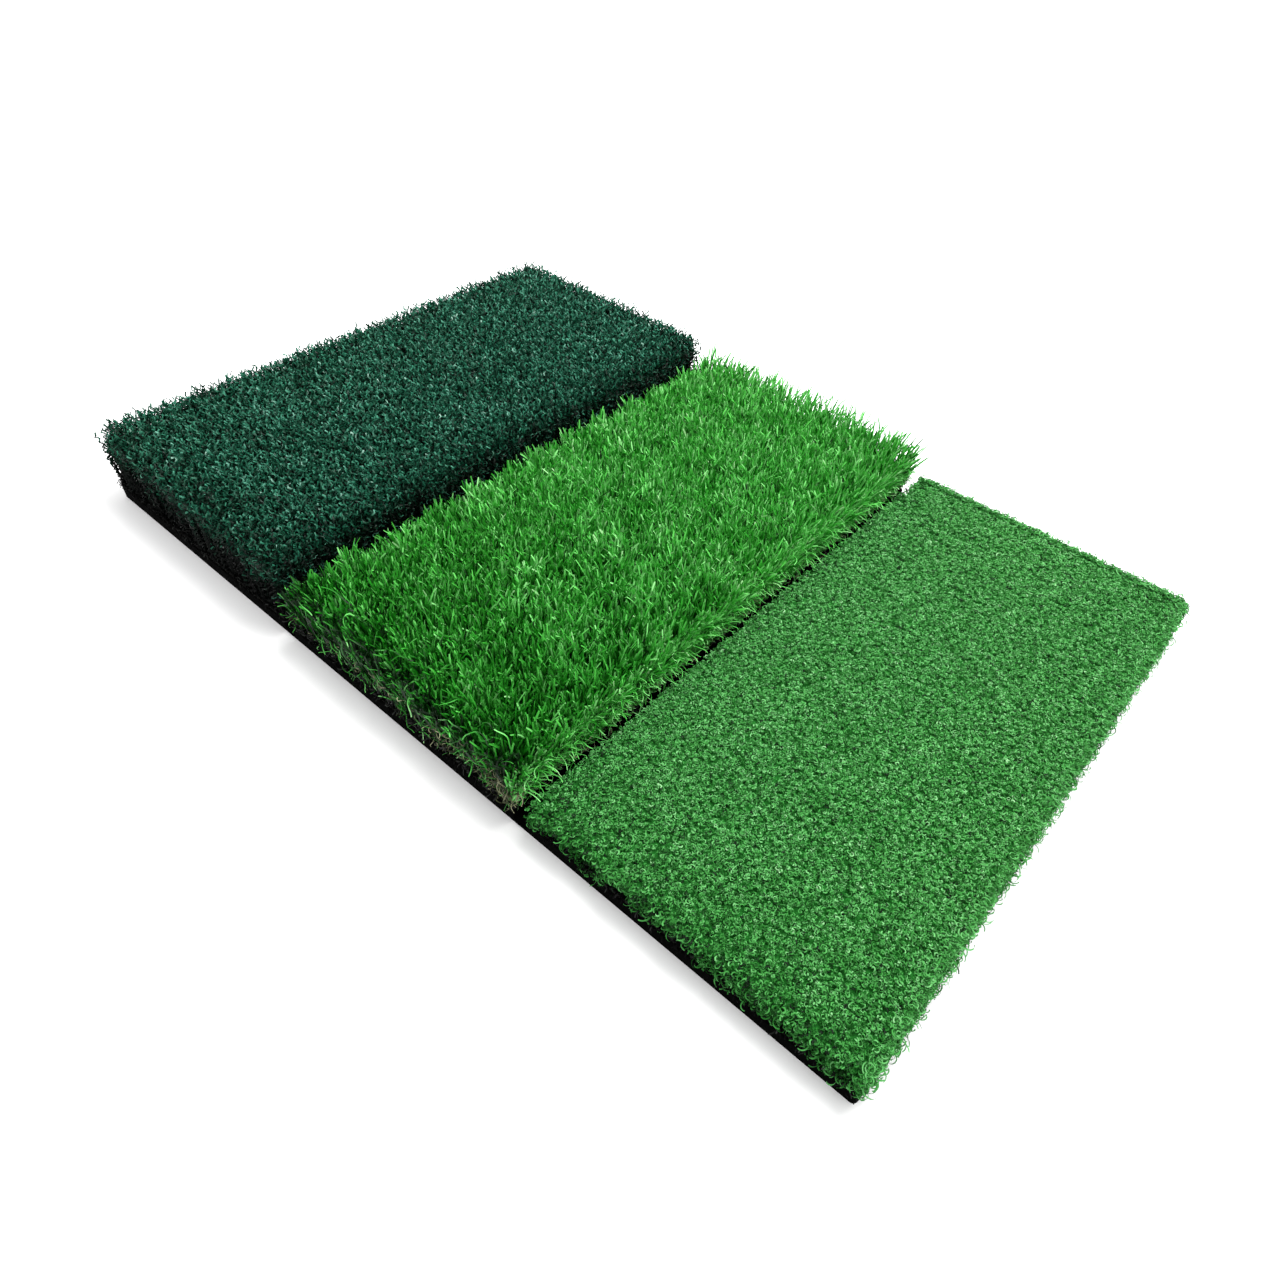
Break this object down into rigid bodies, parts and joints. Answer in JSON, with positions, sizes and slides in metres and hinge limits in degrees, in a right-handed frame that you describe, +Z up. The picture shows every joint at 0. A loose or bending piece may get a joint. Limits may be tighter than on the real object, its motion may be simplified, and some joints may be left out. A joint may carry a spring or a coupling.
{
  "type": "golf hitting mat",
  "caption": "Folding practice mat: tall dense tee turf, long-bladed rough and short fairway turf, side by side on a black rubber base with a fold web under each seam.",
  "frame": {"origin": "middle of the mat, on the surface that it lies on", "axes": "+X along the mat from the tee turf to the fairway turf, +Y across the mat, +Z up"},
  "size_m": [0.635, 0.4064, 0.052],
  "materials": {
    "base_rubber": "matt moulded",
    "glue_film": "dull film",
    "latex_coat": "matt coat",
    "woven_cloth": "plain weave",
    "tee_yarn": "crimped nylon",
    "rough_yarn": "slit film",
    "thatch_yarn": "crimped nylon",
    "fairway_yarn": "crimped nylon"
  },
  "bodies": {
    "rough_panel": {"rough_base_panel": "base_rubber", "tee_fold_web": "base_rubber", "fairway_fold_web": "base_rubber", "rough_glue_film": "glue_film", "rough_latex_coat": "latex_coat", "rough_back_stitches": "rough_yarn", "rough_woven_cloth": "woven_cloth", "rough_thatch": "thatch_yarn", "rough_blades": "rough_yarn"},
    "tee_panel": {"tee_base_panel": "base_rubber", "tee_glue_film": "glue_film", "tee_latex_coat": "latex_coat", "tee_back_stitches": "tee_yarn", "tee_woven_cloth": "woven_cloth", "tee_pile": "tee_yarn"},
    "fairway_panel": {"fairway_base_panel": "base_rubber", "fairway_glue_film": "glue_film", "fairway_latex_coat": "latex_coat", "fairway_back_stitches": "fairway_yarn", "fairway_woven_cloth": "woven_cloth", "fairway_pile": "fairway_yarn"}
  },
  "joints": [
    {"name": "tee_fold", "type": "hinge", "parent": "rough_panel", "child": "tee_panel", "pos_m": [-0.10583, 0, 0], "axis": [0, 1, 0], "range_deg": [-85, 5], "stiffness_Nm_per_rad": 0.135, "deforming": ["tee_fold_web"]},
    {"name": "fairway_fold", "type": "hinge", "parent": "rough_panel", "child": "fairway_panel", "pos_m": [0.10583, 0, 0], "axis": [0, -1, 0], "range_deg": [-178, 8], "stiffness_Nm_per_rad": 0.135, "deforming": ["fairway_fold_web"]}
  ]
}
